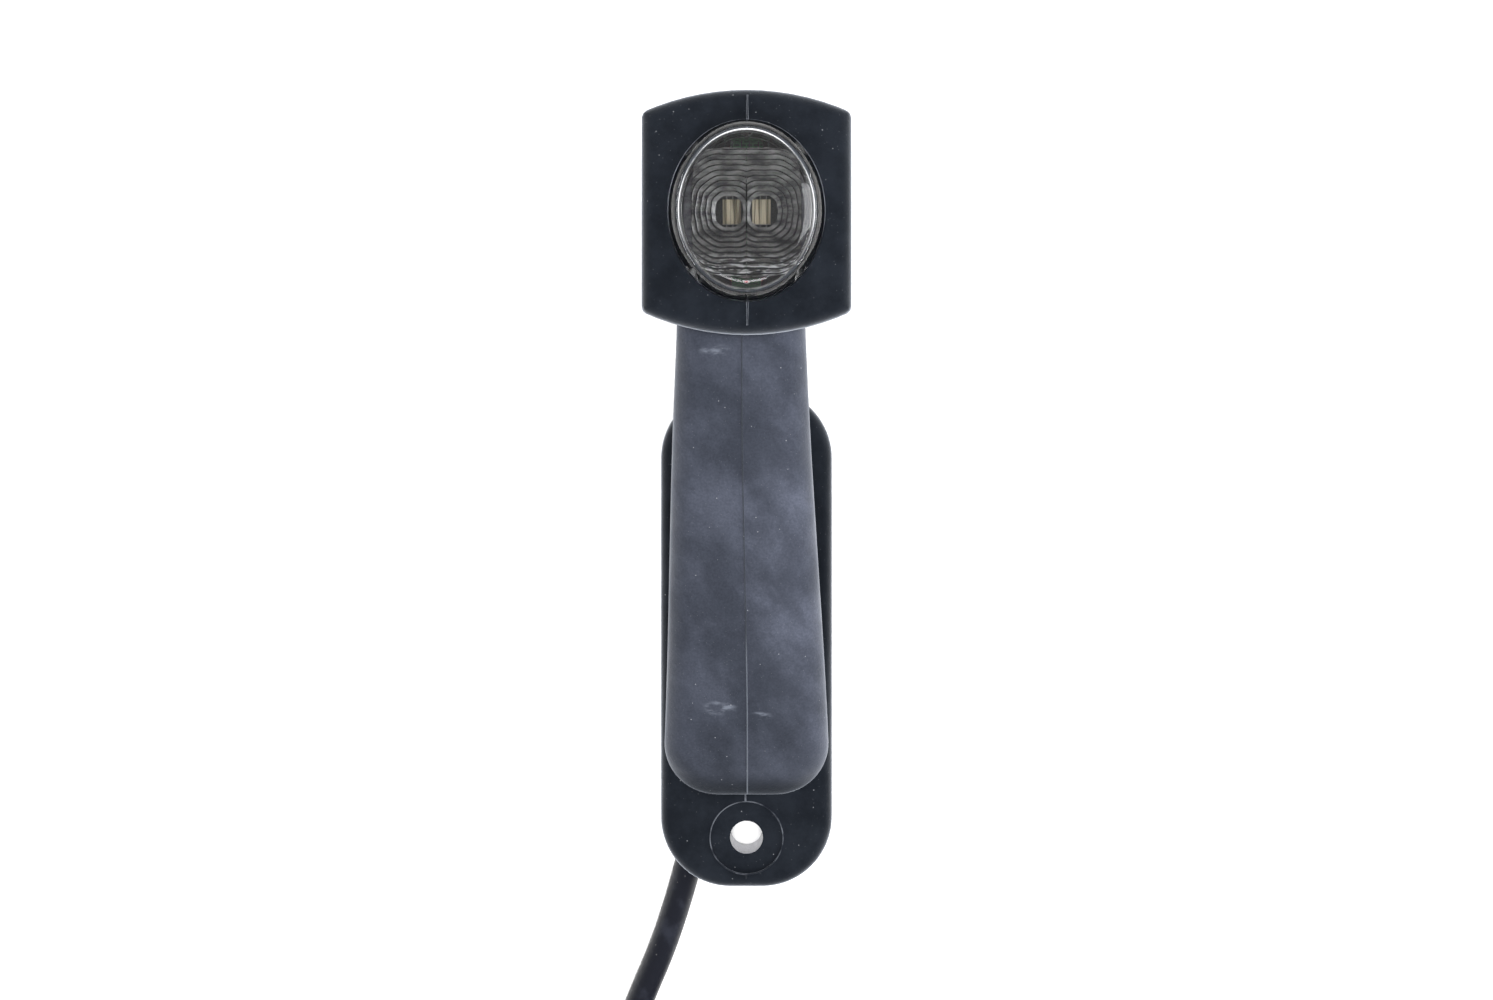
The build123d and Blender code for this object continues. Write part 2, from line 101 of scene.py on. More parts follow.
def ease(value, low, high):
    """0 below low, 1 above high, and a smooth rise between them."""
    t = min(max((value - low) / (high - low), 0), 1)
    return t * t * (3 - 2 * t)


def coil_place(turned):
    """Point of the coil after so many degrees: outside, then inside, then on top of both."""
    radius = outer_turn + (inner_turn - outer_turn) * ease(turned, *move_inwards)
    radius += (coil_radius - inner_turn) * ease(turned, *move_to_middle)
    height = cable_radius + (top_turn_height - cable_radius) * ease(turned, *climb)
    height += crossing_lift * ease(turned, *crossing_rise) * (1 - ease(turned, *crossing_fall))
    near_tie = abs((turned - tie_angle) % 360 - 180)
    height += tie_thickness * (1 - ease(near_tie, *tie_reach))
    angle = radians(180 + turned)
    return (
        coil_centre[0] + radius * polygon_growth * cos(angle),
        coil_centre[1] + radius * polygon_growth * sin(angle),
        height,
    )


route = [(x, y, cable_radius) for x, y in free_route]
turned = coil_step
while turned < coil_end:
    route.append(coil_place(turned))
    turned += coil_step
route.append(coil_place(coil_end))

cable_curve = bpy.data.curves.new("cable", "CURVE")
cable_curve.dimensions = "3D"
cable_curve.resolution_u = 8
cable_curve.bevel_depth = cable_radius
cable_curve.bevel_resolution = 8
cable_curve.use_fill_caps = True
cable_line = cable_curve.splines.new("NURBS")
cable_line.points.add(len(route) - 1)
for point, place in zip(cable_line.points, route):
    point.co = (*place, 1)
cable_line.order_u = 3
cable_line.use_endpoint_u = True
cable = bpy.data.objects.new("cable", cable_curve)
bpy.context.collection.objects.link(cable)


def feed(finish, inputs, node=None):
    """Sets or wires inputs of a node, or of the finish's own shader where no node is given."""
    if node is None:
        node = finish.node_tree.nodes["Principled BSDF"]
    for name, value in inputs.items():
        socket = node.inputs[name]
        if isinstance(value, bpy.types.NodeSocket):
            finish.node_tree.links.new(value, socket)
        else:
            socket.default_value = (*value, 1) if socket.type == "RGBA" else value


def added(finish, kind, inputs, **settings):
    """Outputs of a new node of a kind, with its inputs set or wired."""
    node = finish.node_tree.nodes.new(f"ShaderNode{kind}")
    for name, setting in settings.items():
        setattr(node, name, setting)
    feed(finish, inputs, node)
    return node.outputs


def new_finish(name, colour, roughness, metallic=0.0, gloss=0.5):
    """A finish of one colour, before its pattern is wired in."""
    finish = bpy.data.materials.new(name)
    finish.use_nodes = True
    feed(finish, {"Base Color": colour, "Roughness": roughness})
    feed(finish, {"Metallic": metallic, "Specular IOR Level": gloss})
    return finish


def placed(finish, centre=(0, 0, 0), stretch=(1, 1, 1), turn=(0, 0, 0)):
    """Coordinates on the piece about a centre, stretched by a scale on each axis."""
    place = added(finish, "TexCoord", {})["Object"]
    scale = [1 / amount for amount in stretch]
    inputs = {"Vector": place, "Location": centre, "Rotation": turn, "Scale": scale}
    return added(finish, "Mapping", inputs, vector_type="TEXTURE")["Vector"]


def grain(finish, place, scale, detail=4.0, rough=0.55):
    """Irregular mottling, with scale cells to the metre."""
    inputs = {"Vector": place, "Scale": scale, "Detail": detail, "Roughness": rough}
    return added(finish, "TexNoise", inputs)["Fac"]


def levels(finish, value, low, high, start=0.0, end=1.0):
    """Value between low and high turned into start to end, and held there beyond them."""
    inputs = {"Value": value, "From Min": low, "From Max": high, "To Min": start, "To Max": end}
    return added(finish, "MapRange", inputs, interpolation_type="SMOOTHSTEP")["Result"]


def product(finish, first, second):
    """Two values multiplied."""
    return added(finish, "Math", {0: first, 1: second}, operation="MULTIPLY")["Value"]


def tinted(finish, amount, under, over):
    """Colour that goes from under to over; each is a colour or what another tint gives."""
    return added(finish, "Mix", {"Factor": amount, 6: under, 7: over}, data_type="RGBA")[2]


def specks(finish, place, scale, size):
    """Small scattered dots, one in each cell, where 1 is inside."""
    cells = added(finish, "TexVoronoi", {"Vector": place, "Scale": scale})
    return levels(finish, cells["Distance"], size, size * 0.6)


def wire_in(finish, colour=None, roughness=None, height=None, depth=0.0001):
    """Wires a pattern into the shader's colour, roughness and relief."""
    if colour is not None:
        feed(finish, {"Base Color": colour})
    if roughness is not None:
        feed(finish, {"Roughness": roughness})
    if height is not None:
        relief = added(finish, "Bump", {"Distance": depth, "Height": height})
        feed(finish, {"Normal": relief["Normal"]})
    return finish


def jacket_finish():
    """Dark grey PVC, faintly rippled by the extruder, with paler handling marks."""
    finish = new_finish("cable_jacket", (0.008, 0.009, 0.013), 0.42, gloss=0.28)
    place = placed(finish)
    marks = levels(finish, grain(finish, place, 240), 0.52, 0.72)
    colour = tinted(finish, marks, (0.0055, 0.0062, 0.0098), (0.013, 0.0145, 0.021))
    dust = product(finish, specks(finish, place, 700, 0.10), 0.5)
    colour = tinted(finish, dust, colour, (0.16, 0.16, 0.16))
    gloss = levels(finish, grain(finish, place, 900), 0.3, 0.7, 0.36, 0.5)
    return wire_in(finish, colour, gloss, grain(finish, place, 1500, 2), 0.00004)


jacket = jacket_finish()
cable_curve.materials.append(jacket)

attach(cable, "foot")
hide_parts("cable_free_run", "cable_coil")

# ---- Rubber foot ---------------------------------------------------------------------------------
# The flat plate of the one-piece rubber moulding, with round ends, a rolled front edge, a sunk seat
# for each bolt's washer and a groove in the back for the cable.  It is vulcanised on a steel plate.
foot_low, foot_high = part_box("rubber_foot")
sleeve_low, sleeve_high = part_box("bolt_sleeves")
foot_width = foot_high[0] - foot_low[0]
foot_length = foot_high[1] - foot_low[1]
foot_thickness = foot_low[2] + 12.0 * mm
foot_corner = 14.0 * mm
foot_roll = 2.0 * mm
foot_back_roll = 0.5 * mm
bolt_y = 40.0 * mm
seat_radius = 7.25 * mm
seat_depth = 0.85 * mm
seat_rim_half = 0.13 * mm
seat_rim_rise = 0.05 * mm
sleeve_radius = (sleeve_high[0] - sleeve_low[0]) / 2
bore_radius = 3.3 * mm
edge_softening = 0.25 * mm
groove_start = Vector((-0.0060, -0.0240, 0))
groove_end = Vector((-0.0120, -0.0470, 0))
groove_radius = cable_radius + 0.3 * mm
rubber_dark = (0.0022, 0.0034, 0.0057)
rubber_light = (0.0062, 0.0082, 0.0120)
rubber_sheen = (0.78, 0.84, 0.95)
dust_grey = (0.30, 0.31, 0.33)
coarse_dust = (420, 0.055, 0.5)
fine_dust = (1250, 0.085, 0.22)


def rubber_finish(name, sheen, cover=None):
    """Black moulded rubber with fine grain and dust in it, under a wax bloom with painted light and shade
    where it has one.
    """
    finish = new_finish(name, rubber_light, 0.58, gloss=0.22)
    feed(finish, {"Sheen Weight": sheen, "Sheen Roughness": 0.42, "Sheen Tint": rubber_sheen})
    place = placed(finish)
    fine = grain(finish, place, 2400, 3)
    patches = levels(finish, grain(finish, place, 90, 8, 0.75), 0.35, 0.65)
    colour = tinted(finish, patches, rubber_dark, rubber_light)
    if cover is not None:
        colour = cover(finish, place, fine, colour)
    for cells, size, strength in (coarse_dust, fine_dust):
        dust = product(finish, specks(finish, place, cells, size), strength)
        colour = tinted(finish, dust, colour, dust_grey)
    roughness = levels(finish, grain(finish, place, 160), 0.3, 0.7, 0.52, 0.68)
    return wire_in(finish, colour, roughness, fine, 0.00005)


def pick(piece, kind, test):
    """In edit mode, selects only the vertices, edges or faces whose middle and vertices pass."""
    mesh = bmesh.from_edit_mesh(piece.data)
    bpy.context.tool_settings.mesh_select_mode = (kind == "VERT", kind == "EDGE", kind == "FACE")
    for group in (mesh.verts, mesh.edges, mesh.faces):
        for element in group:
            element.select = False
    if kind == "VERT":
        for vertex in mesh.verts:
            vertex.select = test(vertex.co)
    else:
        for element in mesh.edges if kind == "EDGE" else mesh.faces:
            element.select = all(test(vertex.co) for vertex in element.verts)
    mesh.select_flush_mode()
    bmesh.update_edit_mesh(piece.data)


def span(edge, axis):
    """How far an edge runs along one axis."""
    return abs(edge.verts[0].co[axis] - edge.verts[1].co[axis])


def pick_edges(piece, test):
    """In edit mode, selects only the edges that pass."""
    mesh = bmesh.from_edit_mesh(piece.data)
    mesh.normal_update()
    for edge in mesh.edges:
        edge.select = test(edge)
    bmesh.update_edit_mesh(piece.data)
    bpy.context.tool_settings.mesh_select_mode = (False, True, False)


def roll(width, segments, kind="EDGES"):
    """In edit mode, rounds the selected edges or corners."""
    bpy.ops.mesh.bevel(offset=width, segments=segments, affect=kind, clamp_overlap=False)


def alone(piece):
    """Selects one piece alone, outside edit mode."""
    if bpy.context.object and bpy.context.object.mode != "OBJECT":
        bpy.ops.object.mode_set(mode="OBJECT")
    bpy.ops.object.select_all(action="DESELECT")
    piece.select_set(True)
    bpy.context.view_layer.objects.active = piece


def edit(piece):
    """Opens one piece alone in edit mode."""
    alone(piece)
    bpy.ops.object.mode_set(mode="EDIT")


def paint(piece, finishes, number=0):
    """Gives a piece its finishes, and all its faces the one with this number."""
    for finish in finishes:
        piece.data.materials.append(finish)
    for face in piece.data.polygons:
        face.material_index = number


def settle(piece, name, angle=35):
    """Leaves edit mode with normals outwards, the place in the mesh and smooth shading."""
    if piece.mode != "EDIT":
        edit(piece)
    bpy.ops.mesh.select_all(action="SELECT")
    bpy.ops.mesh.remove_doubles(threshold=0.000002)
    bpy.ops.mesh.normals_make_consistent(inside=False)
    bpy.ops.object.mode_set(mode="OBJECT")
    bpy.ops.object.transform_apply(location=True, rotation=True, scale=True)
    bpy.ops.object.shade_smooth_by_angle(angle=radians(angle))
    piece.name = name
    piece.data.name = name
    return piece


def cut_with(piece, tool, operation="DIFFERENCE"):
    """Applies a boolean with a tool piece, then throws the tool away."""
    alone(piece)
    boolean = piece.modifiers.new("cut", "BOOLEAN")
    boolean.operation = operation
    boolean.solver = "EXACT"
    boolean.object = tool
    bpy.ops.object.modifier_apply(modifier=boolean.name)
    bpy.data.objects.remove(tool, do_unlink=True)


def cylinder(x, y, low, high, radius_x, radius_y, sides=64):
    """Upright round or oval cylinder, its place in its mesh."""
    bpy.ops.object.select_all(action="DESELECT")
    bpy.ops.mesh.primitive_cylinder_add(
        vertices=sides, radius=1, depth=1, location=(x, y, (low + high) / 2)
    )
    tool = bpy.context.object
    tool.scale = (radius_x, radius_y, high - low)
    bpy.ops.object.transform_apply(location=True, rotation=True, scale=True)
    return tool


def box_piece(low, high):
    """Block stretched between two corners."""
    bpy.ops.object.select_all(action="DESELECT")
    bpy.ops.mesh.primitive_cube_add(size=1, location=[(a + b) / 2 for a, b in zip(low, high)])
    piece = bpy.context.object
    piece.scale = [b - a for a, b in zip(low, high)]
    bpy.ops.object.transform_apply(location=True, rotation=True, scale=True)
    return piece


def flash_ridge(x, start_y, end_y, level, width, height, rubbed=False):
    """Low sharp ridge, wider where it starts, as rubber leaves where the mould's halves meet;
    highlighted, it is in the pale rubber that paints a highlight along it.
    """
    crest_share = 0.3
    flare = 2.2
    ridge = box_piece(
        (x - width / 2, min(start_y, end_y), level - height),
        (x + width / 2, max(start_y, end_y), level + height),
    )
    edit(ridge)
    mesh = bmesh.from_edit_mesh(ridge.data)
    for vertex in mesh.verts:
        if vertex.co.z > level:
            vertex.co.x = x + (vertex.co.x - x) * crest_share
        if abs(vertex.co.y - start_y) < 0.01 * mm:
            vertex.co.x = x + (vertex.co.x - x) * flare
    bmesh.update_edit_mesh(ridge.data)
    bpy.ops.object.mode_set(mode="OBJECT")
    paint(ridge, (rubber, scuffed), int(rubbed))
    return ridge


def soften(piece, width, segments=2, angle=40):
    """Rounds every sharp edge of a piece a little, as a mould does."""
    alone(piece)
    bevel = piece.modifiers.new("soften", "BEVEL")
    bevel.width = width
    bevel.segments = segments
    bevel.limit_method = "ANGLE"
    bevel.angle_limit = radians(angle)
    bevel.use_clamp_overlap = True
    bpy.ops.object.modifier_apply(modifier=bevel.name)


rubber = rubber_finish("rubber_plain", 0.55)
# Pale rubber for thin raised rims and ridges: its paleness is a painted highlight along them, with a
# random mottle.
scuffed = new_finish("rubber_scuffed", (0.05, 0.055, 0.065), 0.5)
wear = levels(scuffed, grain(scuffed, placed(scuffed), 300), 0.38, 0.62)
wire_in(scuffed, tinted(scuffed, wear, (0.008, 0.010, 0.015), (0.085, 0.092, 0.108)))

foot = box_piece(
    (-foot_width / 2, -foot_length / 2, 0), (foot_width / 2, foot_length / 2, foot_thickness)
)
paint(foot, (rubber, scuffed))
edit(foot)
pick_edges(foot, lambda edge: span(edge, 2) > foot_thickness / 2)
roll(foot_corner, 20)
pick(foot, "EDGE", lambda co: co.z > foot_thickness - 0.01 * mm)
roll(foot_roll, 7)
pick(foot, "EDGE", lambda co: co.z < 0.01 * mm)
roll(foot_back_roll, 2)
bpy.ops.object.mode_set(mode="OBJECT")
for side in (-1, 1):
    seat_low, seat_high = (foot_thickness + way * seat_depth for way in (-1, 1))
    cut_with(foot, cylinder(0, side * bolt_y, seat_low, seat_high, seat_radius, seat_radius, 96))
    cut_with(foot, cylinder(0, side * bolt_y, -mm, sleeve_high[2], sleeve_radius, sleeve_radius, 96))
    cut_with(foot, cylinder(0, side * bolt_y, mm, 2 * foot_thickness, bore_radius, bore_radius, 96))
# The toe's ridge is pale, a painted highlight in line with the arm's pale mould line.
toe_ridge = flash_ridge(
    x=-0.2 * mm,
    start_y=-32.6 * mm,
    end_y=-29.0 * mm,
    level=foot_thickness,
    width=0.3 * mm,
    height=0.15 * mm,
    rubbed=True,
)
end_ridge = flash_ridge(
    x=-0.1 * mm,
    start_y=-47.4 * mm,
    end_y=-48.2 * mm,
    level=foot_thickness,
    width=0.3 * mm,
    height=0.12 * mm,
)
for ridge in (toe_ridge, end_ridge):
    cut_with(foot, ridge, "UNION")
groove_run = groove_end - groove_start
bpy.ops.object.select_all(action="DESELECT")
bpy.ops.mesh.primitive_cylinder_add(vertices=48, radius=groove_radius, depth=1)
groove = bpy.context.object
groove.location = groove_start + groove_run * 0.75 + Vector((0, 0, cable_radius))
groove.rotation_euler = groove_run.to_track_quat("Z", "X").to_euler()
groove.scale = (1, 1, groove_run.length * 1.5)
bpy.ops.object.transform_apply(location=True, rotation=True, scale=True)
edit(groove)
pick(groove, "VERT", lambda co: co.z < cable_radius - 0.4 * groove_radius)
bpy.ops.transform.translate(value=(0, 0, -4 * mm))
bpy.ops.object.mode_set(mode="OBJECT")
cut_with(foot, groove)
soften(foot, edge_softening, 2, 50)
settle(foot, "foot_plate")
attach(foot, "foot")
# A thin raised rim round each seat, all in the pale rubber, which paints the bright line of a highlight
# round it.
for name, side in (("lower_seat_rim", -1), ("upper_seat_rim", 1)):
    bpy.ops.object.select_all(action="DESELECT")
    bpy.ops.mesh.primitive_torus_add(
        location=(0, side * bolt_y, foot_thickness),
        major_segments=96,
        minor_segments=10,
        major_radius=seat_radius + seat_rim_rise,
        minor_radius=seat_rim_half,
    )
    rim = bpy.context.object
    bpy.ops.object.transform_apply(location=True, rotation=True, scale=True)
    edit(rim)
    pick(rim, "VERT", lambda co: co.z > foot_thickness + 0.1 * mm)
    bpy.ops.transform.translate(value=(0, 0, seat_rim_rise))
    settle(rim, name)
    rim.data.materials.append(scuffed)
    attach(rim, "foot")
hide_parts("rubber_foot")

# ---- Rubber arm ----------------------------------------------------------------------------------
# The slanting part of the moulding.  It starts in a rounded toe on the foot, narrows to the head and
# has a shallow crown.  It is solid round the cable, and bends where it leaves the foot and again
# below the head, so it is made as two lengths that meet where the arm stays stiff.
arm_angle = radians(18.1)
arm_slope = tan(arm_angle)
arm_direction = Vector((0, cos(arm_angle), sin(arm_angle)))
arm_outward = Vector((0, -sin(arm_angle), cos(arm_angle)))
arm_toe_y = -31.0 * mm
arm_start_y = -21.0 * mm
arm_start_rise = 8.5 * mm
arm_root_depth = 2.0 * mm
arm_toe_half = 16.8 * mm
arm_head_half = 12.0 * mm
arm_toe_corner = 11.0 * mm
arm_drop = 16.0 * mm / cos(arm_angle)
arm_edge = 4.2 * mm
arm_back_edge = 2.2 * mm
arm_crown = 0.5 * mm
crown_lines = [place * mm for place in (-10, -7, -4, -1.5, 1.5, 4, 7, 10)]
crown_fade = (7 * mm, 2 * mm)
toe_roll_length = 11.0 * mm
toe_roll_depth = 3.0 * mm
toe_roll_height = 8.0 * mm
toe_roll_power = 2.2
moulding_set = 1.0 * mm
moulding_set_run = (-20 * mm, 50 * mm)
flash_x = 0.15 * mm
flash_half = 0.16 * mm
flash_height = 0.30 * mm
slice_pitch = 1.6 * mm
head_half_height = 22.1 * mm
head_low, head_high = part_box("module_housing")
head_y = (head_low[1] + head_high[1]) / 2
arm_head_y = head_y - head_half_height
bloom_grey = (0.066, 0.073, 0.098)
scuff_grey = (0.095, 0.105, 0.130)
# Mould line colours: a painted highlight below and a painted shadow above.
flash_pale = (0.105, 0.115, 0.140)
flash_dark = (0.007, 0.009, 0.014)
scuffs = ((-0.0058, 0.055, 0.0035), (-0.0052, -0.0127, 0.004), (0.0027, -0.0145, 0.003))


def arm_front(y):
    """Height of the arm's front surface before its crown and its toe are shaped."""
    return foot_thickness + arm_start_rise + (y - arm_start_y) * arm_slope


def arm_middle(y):
    """Point on the arm's middle plane."""
    return Vector((0, y, arm_front(y) - arm_drop / 2))


def arm_sideways(y):
    """How far the moulding has set to the left at a place along it."""
    return -moulding_set * ease(y, *moulding_set_run)


def bisect(piece, place, normal, keep=None):
    """Cuts all of a piece by a plane, and with keep, drops what lies beyond it and caps the cut."""
    bpy.ops.mesh.select_all(action="SELECT")
    bpy.ops.mesh.bisect(
        plane_co=place,
        plane_no=normal,
        use_fill=keep is not None,
        clear_outer=keep == "inner",
        clear_inner=keep == "outer",
    )


def front_rim(edge):
    """Whether an edge lies between the arm's front and its sides."""
    lifts = [face.normal.z for face in edge.link_faces]
    start = min(vertex.co.y for vertex in edge.verts)
    return len(lifts) == 2 and max(lifts) > 0.9 and min(lifts) < 0.5 and start < head_y - mm


def back_rim(edge):
    """Whether an edge runs along the arm's back, clear of its root on the foot."""
    lifts = [face.normal.z for face in edge.link_faces]
    start = min(vertex.co.y for vertex in edge.verts)
    along = span(edge, 1) > 20 * mm and start > back_root_y - mm
    return len(lifts) == 2 and min(lifts) < -0.9 and along


def wax_bloom(finish, place, fine, colour):
    """Grey wax in clouds, none on the toe and less towards the foot, with painted shadow under the head
    and painted light that makes the right side paler, with scuffs, and a mould line painted as a
    highlight below and a shadow above.
    """
    clouds = grain(finish, placed(finish, stretch=(1, 0.6, 0.6), turn=(0, 0, 0.55)), 80, 6, 0.62)
    speckle = levels(finish, fine, 0.25, 0.75, 0.72, 1.0)
    cover = product(finish, levels(finish, clouds, 0.34, 0.68, 0.42, 1.0), speckle)
    along = added(finish, "SeparateXYZ", {"Vector": place})
    for axis, *limits in (
        ("Y", -0.0300, -0.0255, 0.0, 1.0),
        ("Y", -0.027, 0.012, 0.62, 1.0),
        # Painted light from the right: more cover, so paler, towards the right.
        ("X", -0.004, 0.010, 0.76, 1.18),
        # Painted shadow under the head: less cover close below it.
        ("Y", 0.034, 0.056, 1.0, 0.80),
    ):
        cover = product(finish, cover, levels(finish, along[axis], *limits))
    colour = tinted(finish, cover, colour, bloom_grey)
    for x, y, radius in scuffs:
        near = placed(finish, (x, y, arm_front(y)), [1 / (radius * share) for share in (1, 0.45, 1)])
        ball = added(finish, "TexGradient", {"Vector": near}, gradient_type="SPHERICAL")
        streaks = levels(finish, grain(finish, placed(finish, stretch=(0.35, 1, 1)), 900), 0.45, 0.7)
        scuff = product(finish, levels(finish, ball["Fac"], 0.0, 0.6), streaks)
        colour = tinted(finish, scuff, colour, scuff_grey)
    # The mould line's crest is painted pale below as a highlight and dark above as a shadow.
    seam = added(finish, "Attribute", {}, attribute_name="mould_line")
    upper = levels(finish, along["Y"], -0.004, 0.003)
    return tinted(finish, seam["Fac"], colour, tinted(finish, upper, flash_pale, flash_dark))


bpy.ops.object.select_all(action="DESELECT")
bpy.ops.mesh.primitive_plane_add(size=2, location=(0, 0, 0))
arm = bpy.context.object
edit(arm)
taper = (arm_toe_half - arm_head_half) / (arm_head_y - arm_toe_y)
inner_half = arm_toe_half - taper * (head_y - arm_toe_y)
mesh = bmesh.from_edit_mesh(arm.data)
for vertex in mesh.verts:
    half = arm_toe_half if vertex.co.y < 0 else inner_half
    vertex.co.x = half if vertex.co.x > 0 else -half
    vertex.co.y = arm_toe_y if vertex.co.y < 0 else head_y
bmesh.update_edit_mesh(arm.data)
pick(arm, "VERT", lambda co: co.y < 0)
roll(arm_toe_corner, 14, "VERTICES")
bpy.ops.mesh.select_all(action="SELECT")
bpy.ops.mesh.extrude_region_move(TRANSFORM_OT_translate={"value": (0, 0, 0.1)})
root_height = foot_thickness - arm_root_depth
back_root_y = arm_start_y + (root_height + arm_drop - foot_thickness - arm_start_rise) / arm_slope
bisect(arm, (0, back_root_y, 0), (0, 1, 0))
mesh = bmesh.from_edit_mesh(arm.data)
for vertex in mesh.verts:
    front = arm_front(vertex.co.y)
    vertex.co.z = front if vertex.co.z > 0.05 else max(root_height, front - arm_drop)
pick_edges(arm, front_rim)
roll(arm_edge, 8)
pick_edges(arm, back_rim)
roll(arm_back_edge, 5)
for place in (*crown_lines, flash_x - flash_half, flash_x, flash_x + flash_half):
    bisect(arm, (place, 0, 0), (1, 0, 0))
y = arm_toe_y - 8 * mm
while y < head_y:
    bisect(arm, arm_middle(y), arm_direction)
    y += slice_pitch
mesh = bmesh.from_edit_mesh(arm.data)
for vertex in mesh.verts:
    x, y, z = vertex.co
    half = arm_toe_half - taper * (y - arm_toe_y)
    above = ease(z, *(arm_front(y) - below for below in crown_fade))
    vertex.co += arm_outward * arm_crown * above * (1 - min(abs(x) / half, 1) ** 2)
    if above > 0.99 and abs(x - flash_x) < 0.01 * mm:
        vertex.co += arm_outward * flash_height
    toe = 1 - min(max((y - arm_toe_y) / toe_roll_length, 0), 1)
    if z > foot_thickness:
        vertex.co.z -= toe_roll_depth * toe**toe_roll_power * (z - foot_thickness) / toe_roll_height
    vertex.co.x += arm_sideways(y)
bmesh.update_edit_mesh(arm.data)
settle(arm, "arm", 50)

joints = {joint["name"]: joint for joint in frame["record"]["behaviour"]["joints"]}
lower_pivot_y = joints["arm_bend_fore_aft"]["pos_m"][1]
upper_pivot_y = joints["arm_bend_sideways"]["pos_m"][1]
flex_half = 9.5 * mm
stiff_y = (lower_pivot_y + upper_pivot_y) / 2
lower_flex = (arm_middle(lower_pivot_y - flex_half), arm_middle(lower_pivot_y + flex_half))
upper_flex = (arm_middle(upper_pivot_y - flex_half), arm_middle(upper_pivot_y + flex_half))

alone(arm)
bpy.ops.object.duplicate()
arm_upper = bpy.context.object
edit(arm)
bisect(arm, arm_middle(stiff_y), arm_direction, keep="inner")
settle(arm, "arm_lower", 50)
edit(arm_upper)
bisect(arm_upper, arm_middle(stiff_y), arm_direction, keep="outer")
bisect(arm_upper, arm_middle(arm_head_y + 5 * mm), arm_direction, keep="inner")
settle(arm_upper, "arm_upper", 50)
# Marks the crest of the mould line, which the arm's finish paints as a highlight below and a shadow
# above.
for piece in (arm, arm_upper):
    line = piece.data.attributes.new("mould_line", "FLOAT", "POINT")
    for vertex, mark in zip(piece.data.vertices, line.data):
        off = abs(vertex.co.x - flash_x - arm_sideways(vertex.co.y))
        mark.value = float(off < 0.02 * mm and vertex.co.z > foot_thickness)
bloomed = rubber_finish("rubber_bloomed", 0.20, wax_bloom)
arm.data.materials.append(bloomed)
arm_upper.data.materials.append(bloomed)
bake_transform(arm)
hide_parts("rubber_arm_lower", "rubber_arm_middle")
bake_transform(arm_upper)
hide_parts("rubber_arm_upper")

# ---- Rubber head ---------------------------------------------------------------------------------
# The top of the moulding: a near-square block with bowed ends, narrower towards its back, with a
# through opening whose front and rear lips grip the lamp module.
head_width = 38.0 * mm
head_height = 2 * head_half_height
head_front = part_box("front_lens")[1][2] - 5.0 * mm
head_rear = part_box("rear_lens")[0][2] + 4.0 * mm
head_shrink = 2.36 * mm
crown_radius = 46.0 * mm
lens_half_x = 13.9 * mm
lens_half_y = 16.1 * mm
rear_half_x = 11.9 * mm
rear_half_y = 14.1 * mm
module_half_x = 15.1 * mm
module_half_y = 17.3 * mm
lip = 2.5 * mm
head_front_roll = 2.4 * mm
head_rear_roll = 1.3 * mm
head_corner = 0.9 * mm
fit_gap = 0.15 * mm

half_size = (head_width / 2, head_half_height, (head_front - head_rear) / 2)
head = box_piece([-half for half in half_size], half_size)
paint(head, (rubber, scuffed))
edit(head)
pick_edges(head, lambda edge: span(edge, 0) > head_width / 2)
bpy.ops.mesh.subdivide(number_cuts=13)
mesh = bmesh.from_edit_mesh(head.data)
half_width = head_width / 2
for vertex in mesh.verts:
    bow = crown_radius - sqrt(crown_radius**2 - vertex.co.x**2)
    vertex.co.y -= bow if vertex.co.y > 0 else -bow
    if vertex.co.z < 0:
        vertex.co.x *= 1 - head_shrink / half_width
        vertex.co.y *= 1 - head_shrink / head_half_height
bmesh.update_edit_mesh(head.data)
bpy.ops.mesh.select_all(action="SELECT")
bpy.ops.transform.translate(value=(0, head_y, (head_front + head_rear) / 2))
bpy.ops.object.mode_set(mode="OBJECT")
roll_share = head.data.attributes.new("bevel_weight_edge", "FLOAT", "EDGE")
head_middle = (head_front + head_rear) / 2
outline_x = half_width - head_shrink - 0.1 * mm
for edge, share in zip(head.data.edges, roll_share.data):
    start, end = (head.data.vertices[number].co for number in edge.vertices)
    along_x = abs(start.x - end.x) > 0.5 * mm and abs(start.z - end.z) < mm
    upright = abs(start.z - end.z) > mm and abs(start.x) > outline_x
    down_side = abs(start.y - end.y) > head_height / 2 and abs(start.x) > outline_x
    if upright:
        share.value = head_corner / head_front_roll
    elif along_x or down_side:
        share.value = 1 if start.z > head_middle else head_rear_roll / head_front_roll
rolls = head.modifiers.new("rolls", "BEVEL")
rolls.width = head_front_roll
rolls.segments = 8
rolls.limit_method = "WEIGHT"
alone(head)
bpy.ops.object.modifier_apply(modifier=rolls.name)
for side, outer in ((1, 20.6 * mm), (-1, 20.4 * mm)):
    ridge = flash_ridge(
        x=flash_x,
        start_y=head_y + side * (lens_half_y - mm),
        end_y=head_y + side * outer,
        level=head_front,
        width=0.35 * mm,
        height=0.25 * mm,
    )
    cut_with(head, ridge, "UNION")
for low, high, half_x, half_y, sides in (
    (head_rear + lip, head_front - lip, module_half_x, module_half_y, 96),
    (head_front - 2 * lip, head_front + lip, lens_half_x + fit_gap, lens_half_y + fit_gap, 128),
    (head_rear - lip, head_rear + 2 * lip, rear_half_x + fit_gap, rear_half_y + fit_gap, 128),
):
    cut_with(head, cylinder(0, head_y, low, high, half_x, half_y, sides))
settle(head, "head_block", 40)
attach(head, "lamp_head")
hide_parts("rubber_head")

